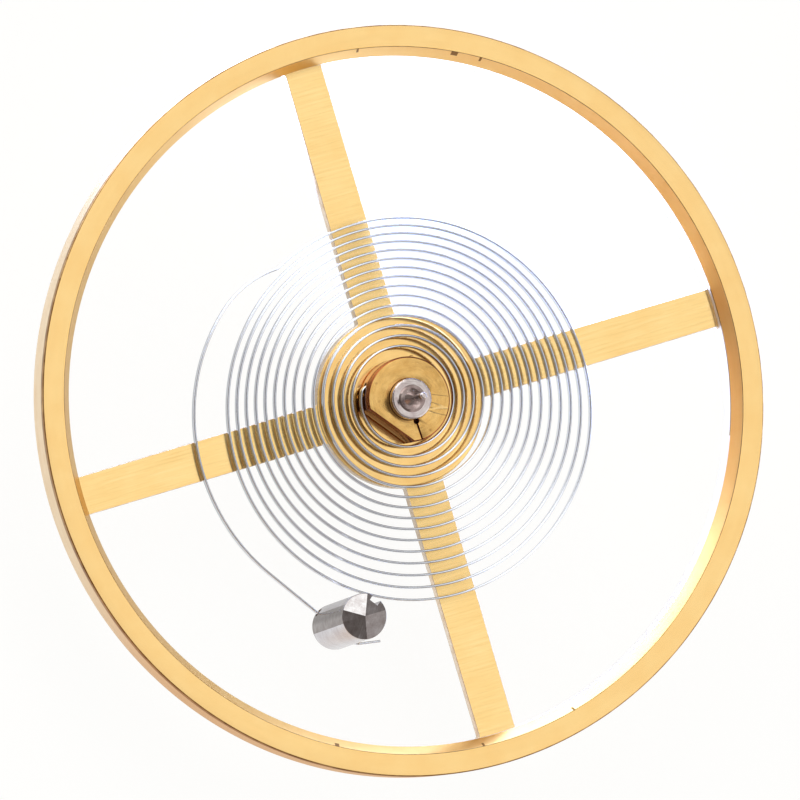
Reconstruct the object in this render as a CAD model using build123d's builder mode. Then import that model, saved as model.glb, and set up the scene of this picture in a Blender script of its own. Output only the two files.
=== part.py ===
from build123d import *
from math import atan2, ceil, cos, degrees, hypot, radians, sin, sqrt
import os

os.makedirs("parts", exist_ok=True)

# Balance wheel of a watch, complete with staff, double roller, hairspring and stud.
# The origin is the tip of the lower pivot, +Z runs up the staff and +X along one arm.
# All lengths are in millimetres and all angles in degrees, counted about the staff from +X.

# Wheel
wheel_diameter = 9.30
rim_height = 0.44
rim_face_width = 0.257
rim_edge_break = 0.015
bevel_width = 0.103
bevel_height = 0.13
rim_lift = 1.52
arm_count = 4
arm_drop = 0.28
arm_thickness = 0.14
arm_width_at_staff = 0.505
arm_width_at_rim = 0.48
arm_corner_radius = 0.03
hub_diameter = 2.16

# Staff
pivot_diameter = 0.09
pivot_length = 0.24
pivot_tip_radius = 0.025
lower_cone_length = 0.16
arbor_diameter = 0.40
flange_diameter = 1.00
flange_thickness = 0.14
hub_seat_diameter = 0.62
rivet_diameter = 0.72
rivet_height = 0.03
collet_seat_diameter = 0.51
shoulder_lift = 0.125
shoulder_chamfer = 0.02
upper_cone_diameter = 0.27
upper_cone_length = 0.26
groove_width = 0.035
groove_depth = 0.03

# Double roller and its jewel
table_diameter = 1.70
table_thickness = 0.14
table_edge_break = 0.02
tube_diameter = 0.60
tube_length = 0.34
safety_diameter = 0.84
safety_thickness = 0.16
crescent_radius = 0.13
crescent_overshoot = 0.05
jewel_radius = 0.15
jewel_flat_distance = 0.06
jewel_edge_distance = 0.19
jewel_length = 0.56
jewel_angle = 0
jewel_edge_break = 0.015

# Collet
collet_diameter = 1.06
collet_height = 0.33
collet_clearance = 0.045
collet_edge_break = 0.02
collet_flat_depth = 0.15
collet_flat_angle = 219
slit_width = 0.035
slit_angle = 272
slit_relief_diameter = 0.07

# Hairspring: a flat ribbon on edge, wound outwards counterclockwise
spring_thickness = 0.03
spring_width = 0.09
spring_lift = 0.15
coil_clearance = 0.02
coil_centre_shift = -0.004
coil_turns = 15
coil_pitch = 0.1256
coil_last_drift = 0.0321
coil_steady_turns = 5
coil_drift_west_share = 0.07
coil_last_angle = 26
pinned_length = 0.50
inner_bend_radius = 0.10
kink_radius = 0.15
kink_turn = 23.49
terminal_first_radius = 1.30
terminal_first_turn = 38
terminal_middle_radius = 2.37
terminal_middle_turn = 43
terminal_last_radius = 2.46
terminal_last_turn = 42
terminal_straight = 0.798
tail_length = 0.10
tail_radius = 0.55
tail_turn = 22

# Pin holes of the collet and of the stud, and the half-round pins that wedge the ribbon.
# The collet's hole lies at this share of its ring, counted from the bore outwards.
pin_hole_radius = 0.058
ribbon_offset = 0.018
wedge_clearance = 0.003
collet_hole_share = 0.527
collet_hole_angle = 109
collet_pin_tail = 0.06
stud_pin_tail = 0.07

# Stud
stud_diameter = 0.565
stud_length = 1.31
stud_wall_under_hole = 0.04
stud_cone_height = 0.035
stud_edge_break = 0.015
stud_notch_width = 0.12
stud_notch_depth = 0.08
stud_notch_length = 0.30
stud_notch_angle = 34

# How far a cutting tool runs past the faces that it cuts
overrun = 0.2

# Radii
rim_radius = wheel_diameter / 2
rim_inner_edge_radius = rim_radius - rim_edge_break - rim_face_width
rim_wall_radius = rim_inner_edge_radius - bevel_width
hub_radius = hub_diameter / 2
pivot_radius = pivot_diameter / 2
arbor_radius = arbor_diameter / 2
flange_radius = flange_diameter / 2
hub_seat_radius = hub_seat_diameter / 2
rivet_radius = rivet_diameter / 2
collet_seat_radius = collet_seat_diameter / 2
upper_cone_radius = upper_cone_diameter / 2
table_radius = table_diameter / 2
safety_radius = safety_diameter / 2
collet_radius = collet_diameter / 2
collet_ring_width = collet_radius - collet_seat_radius
collet_hole_distance = collet_seat_radius + collet_ring_width * collet_hole_share
collet_flat_distance = collet_radius - collet_flat_depth
coil_first_radius = collet_radius + coil_clearance
jewel_circle_radius = table_radius - jewel_edge_distance
stud_radius = stud_diameter / 2
pin_radius = pin_hole_radius - wedge_clearance

# Heights above the tip of the lower pivot
rim_top_z = rim_lift + rim_height
arm_top_z = rim_top_z - arm_drop
arm_bottom_z = arm_top_z - arm_thickness
flange_bottom_z = arm_bottom_z - flange_thickness
table_bottom_z = flange_bottom_z - table_thickness
tube_bottom_z = table_bottom_z - tube_length
safety_bottom_z = tube_bottom_z - safety_thickness
spring_z = arm_top_z + spring_lift
collet_bottom_z = arm_top_z + collet_clearance
collet_top_z = collet_bottom_z + collet_height
shoulder_z = collet_top_z + shoulder_lift
upper_pivot_z = shoulder_z + upper_cone_length
staff_top_z = upper_pivot_z + pivot_length
stud_bottom_z = spring_z - pin_hole_radius - stud_wall_under_hole
stud_top_z = stud_bottom_z + stud_length


def polar(radius, angle):
    return Vector(radius * cos(radians(angle)), radius * sin(radians(angle)))


def along(direction_angle, distance):
    return polar(distance, direction_angle)


def pin_plane(point, direction_angle, height):
    # Z along the hole, X level and to the left of it, Y up
    left = along(direction_angle + 90, 1)
    forward = along(direction_angle, 1)
    return Plane(origin=(point.X, point.Y, height), x_dir=left, z_dir=forward)


# The wheel: turned rim with an inner bevel, and a thin web milled into four arms and a hub
with BuildPart() as balance_wheel:
    with BuildSketch(Plane.XZ):
        with BuildLine():
            Polyline(
                (rim_wall_radius, rim_lift),
                (rim_radius - rim_edge_break, rim_lift),
                (rim_radius, rim_lift + rim_edge_break),
                (rim_radius, rim_top_z - rim_edge_break),
                (rim_radius - rim_edge_break, rim_top_z),
                (rim_inner_edge_radius, rim_top_z),
                (rim_wall_radius, rim_top_z - bevel_height),
                close=True,
            )
        make_face()
    revolve(axis=Axis.Z)
    with BuildSketch(Plane.XY.offset(arm_bottom_z)):
        Circle(rim_inner_edge_radius)
        Circle(hub_seat_radius, mode=Mode.SUBTRACT)
    extrude(amount=arm_thickness)
    with BuildSketch(Plane.XY.offset(arm_bottom_z)) as windows:
        Circle(rim_wall_radius)
        Circle(hub_radius, mode=Mode.SUBTRACT)
        with PolarLocations(0, arm_count):
            Polygon(
                (0, -arm_width_at_staff / 2),
                (rim_inner_edge_radius, -arm_width_at_rim / 2),
                (rim_inner_edge_radius, arm_width_at_rim / 2),
                (0, arm_width_at_staff / 2),
                mode=Mode.SUBTRACT,
            )
        fillet(windows.vertices(), radius=arm_corner_radius)
    extrude(amount=arm_thickness, mode=Mode.SUBTRACT)

# The staff: one turned steel arbor from pivot to pivot, riveted into the hub
with BuildPart() as balance_staff:
    with BuildSketch(Plane.XZ):
        with BuildLine():
            lower_root = (pivot_radius, pivot_length)
            upper_root = (pivot_radius, upper_pivot_z)
            tip_corner = pivot_radius - pivot_tip_radius
            Line((0, 0), (tip_corner, 0))
            TangentArc((tip_corner, 0), (pivot_radius, pivot_tip_radius), tangent=(1, 0))
            Line((pivot_radius, pivot_tip_radius), lower_root)
            TangentArc(lower_root, (arbor_radius, pivot_length + lower_cone_length), tangent=(0, 1))
            Polyline(
                (arbor_radius, pivot_length + lower_cone_length),
                (arbor_radius, flange_bottom_z),
                (flange_radius, flange_bottom_z),
                (flange_radius, arm_bottom_z),
                (hub_seat_radius, arm_bottom_z),
                (hub_seat_radius, arm_top_z),
                (rivet_radius, arm_top_z),
                (hub_seat_radius, arm_top_z + rivet_height),
                (collet_seat_radius, arm_top_z + rivet_height),
                (collet_seat_radius, shoulder_z - shoulder_chamfer),
                (collet_seat_radius - shoulder_chamfer, shoulder_z),
                (upper_cone_radius + groove_width, shoulder_z),
                (upper_cone_radius, shoulder_z - groove_depth),
            )
            TangentArc(upper_root, (upper_cone_radius, shoulder_z - groove_depth), tangent=(0, -1))
            Line(upper_root, (pivot_radius, staff_top_z - pivot_tip_radius))
            TangentArc(
                (pivot_radius, staff_top_z - pivot_tip_radius), (tip_corner, staff_top_z), tangent=(0, 1)
            )
            Polyline((tip_corner, staff_top_z), (0, staff_top_z), (0, 0))
        make_face()
    revolve(axis=Axis.Z)

# Section of the half-moon jewel, standing in for its hole in the roller table as well
with BuildSketch() as jewel_section:
    Circle(jewel_radius)
    with Locations((jewel_flat_distance, 0)):
        Rectangle(jewel_radius, jewel_radius * 2, align=(Align.MIN, Align.CENTER), mode=Mode.SUBTRACT)
jewel_place = polar(jewel_circle_radius, jewel_angle)
jewel_location = Location((jewel_place.X, jewel_place.Y, flange_bottom_z - jewel_length), (0, 0, jewel_angle))

# The roller table, pressed up the arbor against the flange, with its tube below it
with BuildPart() as impulse_roller:
    with BuildSketch(Plane.XY.offset(table_bottom_z)):
        Circle(table_radius)
    extrude(amount=table_thickness)
    outer_edges = impulse_roller.edges().filter_by(GeomType.CIRCLE).group_by(SortBy.RADIUS)[-1]
    chamfer(outer_edges, length=table_edge_break)
    with BuildSketch(Plane.XY.offset(tube_bottom_z)):
        Circle(tube_diameter / 2)
    extrude(amount=tube_length)
    with BuildSketch(Plane.XY.offset(tube_bottom_z)):
        Circle(arbor_radius)
    extrude(amount=tube_length + table_thickness, mode=Mode.SUBTRACT)
    with BuildSketch(Plane.XY.offset(table_bottom_z)):
        with Locations(Location((jewel_place.X, jewel_place.Y, 0), (0, 0, jewel_angle))):
            add(jewel_section.sketch)
    extrude(amount=table_thickness, mode=Mode.SUBTRACT)

# The impulse jewel: a half-moon ruby pin, its flat turned away from the staff
with BuildPart() as impulse_jewel:
    with BuildSketch(Plane(jewel_location)):
        add(jewel_section.sketch)
    extrude(amount=jewel_length)
    jewel_lower_face = impulse_jewel.faces().sort_by(Axis.Z)[0]
    chamfer(jewel_lower_face.edges(), length=jewel_edge_break)

# The safety roller, smaller, with the crescent that lets the guard pin pass the jewel
with BuildPart() as safety_roller:
    with BuildSketch(Plane.XY.offset(safety_bottom_z)):
        Circle(safety_radius)
        Circle(arbor_radius, mode=Mode.SUBTRACT)
        with Locations(polar(safety_radius + crescent_overshoot, jewel_angle)):
            Circle(crescent_radius, mode=Mode.SUBTRACT)
    extrude(amount=safety_thickness)

# The ribbon of the spring leaves the collet along this chord of it
collet_hole_foot = polar(collet_hole_distance, collet_hole_angle)
chord_direction = collet_hole_angle + 90
chord_distance = collet_hole_distance + ribbon_offset
chord_foot = polar(chord_distance, collet_hole_angle)
first_centre = Vector(coil_centre_shift, 0)

# The inner bend is tangent to the chord and, from inside, to the first coil
centre_in = first_centre.dot(polar(1, collet_hole_angle))
centre_along = first_centre.dot(along(chord_direction, 1))
bend_reach = coil_first_radius - inner_bend_radius
bend_in = chord_distance - inner_bend_radius
bend_start = centre_along + sqrt(bend_reach**2 - (bend_in - centre_in) ** 2)
bend_point = chord_foot + along(chord_direction, bend_start) + Vector(0, 0, spring_z)
bend_centre = bend_point - polar(inner_bend_radius, collet_hole_angle)
first_contact = bend_centre - first_centre
coil_start_angle = degrees(atan2(first_contact.Y, first_contact.X))
inner_turn = coil_start_angle + 90 - chord_direction

# At each quarter turn the radius grows by a quarter of the pitch. The inner turns keep their
# centre, and each later one drifts further south and a little west: its radius grows less in
# the south quarter and more in the north one. The quarters come in the order west, south,
# east, north.
quarter_leans = (-coil_drift_west_share, -1, coil_drift_west_share, 1)
quarter_count = len(quarter_leans)
quarter_growth = coil_pitch / quarter_count
drifting_turns = coil_turns - coil_steady_turns
terminal_arcs = (
    (terminal_first_radius, terminal_first_turn),
    (terminal_middle_radius, terminal_middle_turn),
    (terminal_last_radius, terminal_last_turn),
)
first_quarter_turn = 180 - coil_start_angle

# The hairspring: its inner end, fifteen coils, the kink, the terminal curve and the tail
with BuildPart() as hairspring:
    with BuildLine() as ribbon_path:
        piece = Line(bend_point - along(chord_direction, pinned_length), bend_point)
        piece = JernArc(piece @ 1, piece % 1, inner_bend_radius, inner_turn)
        piece = JernArc(piece @ 1, piece % 1, coil_first_radius, first_quarter_turn)
        coil_radius = coil_first_radius
        for quarter in range(coil_turns * quarter_count):
            turn_number = quarter // quarter_count + 1
            turn_drift = coil_last_drift * max(0, turn_number - coil_steady_turns) / drifting_turns
            coil_radius += quarter_growth + turn_drift / 2 * quarter_leans[quarter % quarter_count]
            last_quarter = quarter == coil_turns * quarter_count - 1
            quarter_turn = coil_last_angle if last_quarter else 90
            piece = JernArc(piece @ 1, piece % 1, coil_radius, quarter_turn)
        piece = JernArc(piece @ 1, piece % 1, kink_radius, -kink_turn)
        for terminal_radius, terminal_turn in terminal_arcs:
            piece = JernArc(piece @ 1, piece % 1, terminal_radius, terminal_turn)
        piece = Line(piece @ 1, piece @ 1 + (piece % 1) * terminal_straight)
        stud_mouth = piece @ 1
        stud_direction = piece % 1
        piece = Line(piece @ 1, piece @ 1 + stud_direction * (stud_diameter + tail_length))
        piece = JernArc(piece @ 1, piece % 1, tail_radius, tail_turn)
    path_start = ribbon_path.line @ 0
    with BuildSketch(Plane(path_start, x_dir=(0, 0, 1), z_dir=ribbon_path.line % 0)):
        Rectangle(spring_width, spring_thickness)
    sweep(path=ribbon_path.line)

# The stud stands where the terminal curve ends, its hole to the left of the ribbon's middle
stud_direction_angle = degrees(atan2(stud_direction.Y, stud_direction.X))
stud_centre = stud_mouth + stud_direction * stud_radius + along(stud_direction_angle + 90, ribbon_offset)

# The collet: a split brass ring with a flat, pressed onto the staff
with BuildPart() as collet:
    with BuildSketch(Plane.XY.offset(collet_bottom_z)):
        Circle(collet_radius)
        with Locations(Location((0, 0, 0), (0, 0, collet_flat_angle))):
            with Locations((collet_flat_distance, 0)):
                Rectangle(collet_radius, collet_diameter, align=(Align.MIN, Align.CENTER), mode=Mode.SUBTRACT)
    extrude(amount=collet_height)
    chamfer(collet.faces().sort_by(Axis.Z)[-1].edges(), length=collet_edge_break)
    with BuildSketch(Plane.XY.offset(collet_bottom_z)):
        Circle(collet_seat_radius)
        with Locations(Location((0, 0, 0), (0, 0, slit_angle))):
            Rectangle(collet_diameter, slit_width, align=(Align.MIN, Align.CENTER))
            with Locations((collet_seat_radius + slit_relief_diameter / 2, 0)):
                Circle(slit_relief_diameter / 2)
    extrude(amount=collet_height, mode=Mode.SUBTRACT)
    with BuildSketch(pin_plane(collet_hole_foot, chord_direction, spring_z)):
        Circle(pin_hole_radius)
    extrude(amount=collet_radius, both=True, mode=Mode.SUBTRACT)

# The pin that wedges the ribbon in the collet, filed flat where it lies against it: its tail
# stands out of the hole behind the ribbon's end, and its nose stops where the ribbon bends
collet_pin_reach = sqrt(collet_radius**2 - collet_hole_distance**2) + collet_pin_tail
collet_pin_start = collet_hole_foot - along(chord_direction, collet_pin_reach)
with BuildPart() as collet_pin:
    with BuildSketch(pin_plane(collet_pin_start, chord_direction, spring_z)):
        Circle(pin_radius)
        Rectangle(pin_radius, pin_radius * 2, align=(Align.MAX, Align.CENTER), mode=Mode.SUBTRACT)
    extrude(amount=collet_pin_reach + bend_start)

# The stud: a steel peg parallel to the staff, pointed at the top, cross-drilled at the bottom
with BuildPart() as stud:
    with BuildSketch(Plane(origin=(stud_centre.X, stud_centre.Y, stud_bottom_z), z_dir=(0, 0, 1))):
        Circle(stud_radius)
    extrude(amount=stud_length - stud_cone_height)
    chamfer(stud.faces().sort_by(Axis.Z)[0].edges(), length=stud_edge_break)
    cone_base_z = stud_top_z - stud_cone_height
    with Locations((stud_centre.X, stud_centre.Y, cone_base_z)):
        Cone(stud_radius, stud_edge_break, stud_cone_height, align=(Align.CENTER, Align.CENTER, Align.MIN))
    with BuildSketch(pin_plane(stud_centre, stud_direction_angle, spring_z)):
        Circle(pin_hole_radius)
    extrude(amount=stud_diameter, both=True, mode=Mode.SUBTRACT)
    notch_place = stud_centre + polar(stud_radius - stud_notch_depth, stud_notch_angle)
    notch_location = Location(
        (notch_place.X, notch_place.Y, stud_top_z - stud_notch_length), (0, 0, stud_notch_angle)
    )
    with BuildSketch(Plane(notch_location)):
        Rectangle(stud_radius, stud_notch_width, align=(Align.MIN, Align.CENTER))
    extrude(amount=stud_notch_length + overrun, mode=Mode.SUBTRACT)

# The pin that wedges the ribbon in the stud
with BuildPart() as stud_pin:
    with BuildSketch(pin_plane(stud_centre, stud_direction_angle, spring_z)):
        Circle(pin_radius)
        Rectangle(pin_radius, pin_radius * 2, align=(Align.MAX, Align.CENTER), mode=Mode.SUBTRACT)
    extrude(amount=stud_radius + stud_pin_tail, both=True)

# The least gap between neighbouring coils, measured on points of the ribbon's middle line
ribbon_wire = ribbon_path.wires()[0]
ribbon_length = ribbon_wire.length
points_per_turn = 72
point_count = coil_turns * points_per_turn
ribbon_points = [ribbon_wire @ (number / point_count) for number in range(point_count + 1)]
point_step = ribbon_length / point_count
least_gap = ribbon_length
for number, point in enumerate(ribbon_points):
    skipped_length = 2 * hypot(point.X, point.Y)
    skip = ceil(skipped_length / point_step)
    for other in ribbon_points[number + skip:]:
        least_gap = min(least_gap, (other - point).length - spring_thickness)
print("ribbon length", round(ribbon_length, 2), "least gap between coils", round(least_gap, 3))
print("stud centre", round(stud_centre.X, 3), round(stud_centre.Y, 3), "staff top", round(staff_top_z, 3))

balance_wheel.part.label = "balance_wheel"
balance_staff.part.label = "balance_staff"
impulse_roller.part.label = "impulse_roller"
impulse_jewel.part.label = "impulse_jewel"
safety_roller.part.label = "safety_roller"
hairspring.part.label = "hairspring"
collet.part.label = "collet"
collet_pin.part.label = "collet_pin"
stud.part.label = "stud"
stud_pin.part.label = "stud_pin"

export_step(balance_wheel.part, "parts/balance_wheel.step")
export_step(balance_staff.part, "parts/balance_staff.step")
export_step(impulse_roller.part, "parts/impulse_roller.step")
export_step(impulse_jewel.part, "parts/impulse_jewel.step")
export_step(safety_roller.part, "parts/safety_roller.step")
export_step(hairspring.part, "parts/hairspring.step")
export_step(collet.part, "parts/collet.step")
export_step(collet_pin.part, "parts/collet_pin.step")
export_step(stud.part, "parts/stud.step")
export_step(stud_pin.part, "parts/stud_pin.step")
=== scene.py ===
from math import acos, asin, atan2, ceil, cos, degrees, pi, radians, sin, sqrt, tan

import bmesh
import bpy
from mathutils import Matrix, Vector


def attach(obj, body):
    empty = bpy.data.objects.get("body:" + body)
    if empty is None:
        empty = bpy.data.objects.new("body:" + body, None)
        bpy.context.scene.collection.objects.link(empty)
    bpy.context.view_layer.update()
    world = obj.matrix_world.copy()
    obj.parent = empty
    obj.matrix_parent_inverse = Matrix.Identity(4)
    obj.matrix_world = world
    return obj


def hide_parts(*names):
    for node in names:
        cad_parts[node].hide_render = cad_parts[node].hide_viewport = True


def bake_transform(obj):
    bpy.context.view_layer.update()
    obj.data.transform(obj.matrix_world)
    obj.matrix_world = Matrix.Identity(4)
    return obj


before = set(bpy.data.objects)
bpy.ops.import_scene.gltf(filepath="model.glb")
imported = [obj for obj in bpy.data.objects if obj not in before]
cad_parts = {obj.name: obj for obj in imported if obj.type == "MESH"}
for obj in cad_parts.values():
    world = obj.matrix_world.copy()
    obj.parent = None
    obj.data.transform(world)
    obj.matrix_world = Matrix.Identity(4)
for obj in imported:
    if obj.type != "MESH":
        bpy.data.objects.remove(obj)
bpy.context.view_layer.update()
scene = bpy.context.scene
mm = 0.001

# camera, as fitted to the rim, the arms and the staff
cameraView = {
    "lean": 17.37,        # how far the wheel leans away, degrees
    "leanTowards": 13.15,
    "armTurn": 16.5,      # the right arm's angle in the picture
    "distance": 130.0,    # mm, from the middle of the rim's top
    "lens": 474.14,
    "sensor": 36.0,
    "slide": (-0.086, -0.004),
    "aimHeight": 1.96,
    "near": 0.01,
    "far": 20.0,
}
toPicture = (
    Matrix.Rotation(radians(cameraView["leanTowards"]), 3, "Z")
    @ Matrix.Rotation(radians(cameraView["lean"]), 3, "Y")
    @ Matrix.Rotation(radians(cameraView["armTurn"] - cameraView["leanTowards"]), 3, "Z")
)
cameraData = bpy.data.cameras.new("pictureCamera")
cameraData.lens = cameraView["lens"]
cameraData.sensor_width = cameraView["sensor"]
cameraData.clip_start = cameraView["near"]
cameraData.clip_end = cameraView["far"]
pictureCamera = bpy.data.objects.new("pictureCamera", cameraData)
scene.collection.objects.link(pictureCamera)
cameraSpot = toPicture.transposed() @ Vector((*cameraView["slide"], cameraView["distance"]))
cameraSpot += Vector((0, 0, cameraView["aimHeight"]))
pictureCamera.matrix_world = Matrix.Translation(cameraSpot * mm) @ toPicture.transposed().to_4x4()
scene.camera = pictureCamera
towardsCamera = toPicture.transposed() @ Vector((0, 0, 1))
print("camera placed")


# helpers for node trees; a value is a plain one or a socket to link
def paint(red, green, blue):
    # sRGB 0 to 255 as Blender's linear colour
    shares = [((c / 255 + 0.055) / 1.055) ** 2.4 if c > 10 else c / 255 / 12.92 for c in (red, green, blue)]
    return (*shares, 1.0)


def setInputs(tree, node, values):
    for key, value in values.items():
        if isinstance(value, bpy.types.NodeSocket):
            tree.links.new(value, node.inputs[key])
        else:
            node.inputs[key].default_value = value
    return node


def addNode(tree, kind, values=None, **settings):
    # new nodes stand in rows of ten
    node = tree.nodes.new(kind)
    row, column = divmod(len(tree.nodes), 10)
    node.location = (200 * column, -300 * row)
    for key, value in settings.items():
        setattr(node, key, value)
    return setInputs(tree, node, values or {})


def calc(tree, operation, *values, clamp=False):
    node = addNode(tree, "ShaderNodeMath", dict(enumerate(values)), operation=operation, use_clamp=clamp)
    return node.outputs[0]


def vectorCalc(tree, operation, *values, **named):
    inputs = {**dict(enumerate(values)), **named}
    node = addNode(tree, "ShaderNodeVectorMath", inputs, operation=operation)
    return node.outputs["Value" if operation in ("LENGTH", "DISTANCE", "DOT_PRODUCT") else "Vector"]


def fade(tree, value, first, last, low=0.0, high=1.0, curve="SMOOTHSTEP"):
    ends = {"Value": value, "From Min": first, "From Max": last, "To Min": low, "To Max": high}
    return addNode(tree, "ShaderNodeMapRange", ends, interpolation_type=curve).outputs["Result"]


def splitPoint(tree, point):
    return addNode(tree, "ShaderNodeSeparateXYZ", {0: point}).outputs


def joinPoint(tree, *parts):
    return addNode(tree, "ShaderNodeCombineXYZ", dict(enumerate(parts))).outputs[0]


def turnPoint(tree, point, angle):
    values = {"Vector": point, "Angle": angle}
    return addNode(tree, "ShaderNodeVectorRotate", values, rotation_type="Z_AXIS").outputs[0]


def addNoise(tree, point, **values):
    return addNode(tree, "ShaderNodeTexNoise", {"Vector": point, **values}).outputs["Fac"]


def pointInMillimetres(tree):
    place = addNode(tree, "ShaderNodeTexCoord")
    return vectorCalc(tree, "SCALE", place.outputs["Object"], Scale=1 / mm)


def scaleValue(tree, value, factor, offset=0.0):
    return calc(tree, "MULTIPLY_ADD", value, factor, offset, clamp=True)


def mixColour(tree, share, first, second):
    # inputs 0, 6 and 7 are the factor and the two colours, and output 2 is the colour
    return addNode(tree, "ShaderNodeMix", {0: share, 6: first, 7: second}, data_type="RGBA").outputs[2]


def startMaterial(name, values):
    material = bpy.data.materials.new(name)
    material.use_nodes = True
    tree = material.node_tree
    return material, tree, setInputs(tree, tree.nodes["Principled BSDF"], values)


# shared effects, each a node group with numbers in and one number out
def turningLines(tree, entry):
    # rings left by the lathe: noise that changes fast with radius and height and slowly round the axis
    x, y, z = splitPoint(tree, pointInMillimetres(tree))
    flat = joinPoint(tree, x, y)
    reach = calc(tree, "ADD", vectorCalc(tree, "LENGTH", flat), z)
    fast = calc(tree, "MULTIPLY", reach, entry["Lines per mm"])
    heading = vectorCalc(tree, "NORMALIZE", flat)
    slow = splitPoint(tree, vectorCalc(tree, "SCALE", heading, Scale=entry["Breaks"]))
    place = joinPoint(tree, fast, slow["X"], slow["Y"])
    return addNoise(tree, place, Scale=1.0, Detail=entry["Detail"], Roughness=0.6)


def straightLines(tree, entry):
    # strokes of a fine stone or brush in one direction
    turned = turnPoint(tree, pointInMillimetres(tree), entry["Angle"])
    slow = calc(tree, "DIVIDE", 1.0, entry["Length"])
    stretch = joinPoint(tree, slow, entry["Lines per mm"], entry["Lines per mm"])
    place = vectorCalc(tree, "MULTIPLY", turned, stretch)
    return addNoise(tree, place, Scale=1.0, Detail=entry["Detail"], Roughness=0.55)


def thinScratches(tree, entry):
    # the narrow band where stretched noise crosses its middle value, kept only in patches
    lengthwise = (0.12, 1.0, 1.0)
    point = pointInMillimetres(tree)
    stretched = vectorCalc(tree, "MULTIPLY", turnPoint(tree, point, entry["Angle"]), lengthwise)
    waves = addNoise(tree, stretched, Scale=entry["Density"], Detail=1.0, Distortion=0.2)
    near = calc(tree, "ABSOLUTE", calc(tree, "SUBTRACT", waves, 0.5))
    band = fade(tree, near, 0.0, entry["Width"], 1.0, 0.0, "LINEAR")
    patches = addNoise(tree, point, Scale=1.3, Detail=2.0)
    return calc(tree, "MULTIPLY", band, calc(tree, "GREATER_THAN", patches, entry["Patches"]))


def softClouds(tree, entry):
    # slow, soft changes of tone over a surface
    size = calc(tree, "DIVIDE", 1.0, entry["Size"])
    clouds = addNoise(tree, pointInMillimetres(tree), Scale=size, Detail=entry["Detail"], Roughness=0.6)
    middle = calc(tree, "SUBTRACT", clouds, 0.5)
    return calc(tree, "MULTIPLY_ADD", middle, entry["Contrast"], 0.5, clamp=True)


def smallSpots(tree, entry):
    # separate spots, such as dust, pits and stains
    values = {"Vector": pointInMillimetres(tree), "Scale": calc(tree, "DIVIDE", 1.0, entry["Spacing"])}
    cells = addNode(tree, "ShaderNodeTexVoronoi", values, voronoi_dimensions="3D", feature="F1").outputs
    spot = fade(tree, cells["Distance"], 0.0, entry["Spot"], 1.0, 0.0)
    chance = addNode(tree, "ShaderNodeSeparateColor", {0: cells["Color"]}).outputs[0]
    return calc(tree, "MULTIPLY", spot, calc(tree, "LESS_THAN", chance, entry["Share"]))


def makeGroup(name, build, output, inputs):
    tree = bpy.data.node_groups.new(name, "ShaderNodeTree")
    for label, value in inputs.items():
        socket = tree.interface.new_socket(label, in_out="INPUT", socket_type="NodeSocketFloat")
        socket.default_value = value
    tree.interface.new_socket(output, in_out="OUTPUT", socket_type="NodeSocketFloat")
    entry = addNode(tree, "NodeGroupInput")
    addNode(tree, "NodeGroupOutput", {output: build(tree, entry.outputs)})
    return tree


turningMarks = makeGroup(
    "turningMarks", turningLines, "Lines", {"Lines per mm": 40.0, "Breaks": 3.0, "Detail": 2.0}
)
straightMarks = makeGroup(
    "straightMarks", straightLines, "Lines",
    {"Lines per mm": 20.0, "Length": 0.8, "Angle": 0.0, "Detail": 2.0},
)
scratches = makeGroup(
    "scratches", thinScratches, "Scratches", {"Density": 3.0, "Width": 0.006, "Angle": 0.5, "Patches": 0.55}
)
cloudTone = makeGroup("cloudTone", softClouds, "Tone", {"Size": 0.6, "Contrast": 2.0, "Detail": 4.0})
flecks = makeGroup("flecks", smallSpots, "Flecks", {"Spacing": 0.25, "Spot": 0.12, "Share": 0.2})

# what a finish's numbers stand for, in order; one more number is the marks' share of the colour
markLabels = {
    "clouds": (cloudTone, ("Size", "Contrast")),
    "rings": (turningMarks, ("Lines per mm", "Breaks", "Detail")),
    "strokes": (straightMarks, ("Lines per mm", "Length", "Angle", "Detail")),
    "flecks": (flecks, ("Spacing", "Spot", "Share")),
    "scratches": (scratches, ("Density", "Width", "Angle", "Patches")),
}


def layMarks(tree, kind, values):
    group, labels = markLabels[kind]
    return addNode(tree, "ShaderNodeGroup", dict(zip(labels, values)), node_tree=group).outputs[0]


def cloudColour(tree, look):
    share = scaleValue(tree, layMarks(tree, "clouds", look["clouds"]), look["clouds"][-1])
    return mixColour(tree, share, paint(*look["colour"]), paint(*look["shade"]))


def bumpNormal(tree, height, look):
    values = {"Strength": 1.0, "Distance": look["bump"] * mm, "Height": height}
    return addNode(tree, "ShaderNodeBump", values).outputs["Normal"]


# in every metal: gain and loss of the marks' share in the colour, and how deep spots and lines lie
marking = {"gain": 2, "loss": 0.7, "fleckDepth": -0.6, "scratchDepth": -0.8}


def metalFinish(name, look):
    # a bare metal: base colour with clouds, tool marks, flecks and scratches over its roughness and bump
    material, tree, shader = startMaterial(name, {"Metallic": 1.0})
    colour = cloudColour(tree, look)
    kind = "rings" if "rings" in look else "strokes"
    marks = layMarks(tree, kind, look[kind])
    share = look[kind][-1]
    mask = scaleValue(tree, marks, share * marking["gain"], -share * marking["loss"])
    colour = mixColour(tree, mask, colour, paint(*look["markColour"]))
    height = marks
    for kind, one in (("flecks", "fleck"), ("scratches", "scratch")):
        if kind in look:
            more = layMarks(tree, kind, look[kind])
            mask = scaleValue(tree, more, look[kind][-1])
            colour = mixColour(tree, mask, colour, paint(*look[one + "Colour"]))
            height = calc(tree, "MULTIPLY_ADD", more, marking[one + "Depth"], height)
    spread = look["roughSpread"]
    rough = scaleValue(tree, marks, spread, look["roughness"] - spread * 0.5)
    normal = bumpNormal(tree, height, look)
    setInputs(tree, shader, {"Base Color": colour, "Roughness": rough, "Normal": normal})
    return material


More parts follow.
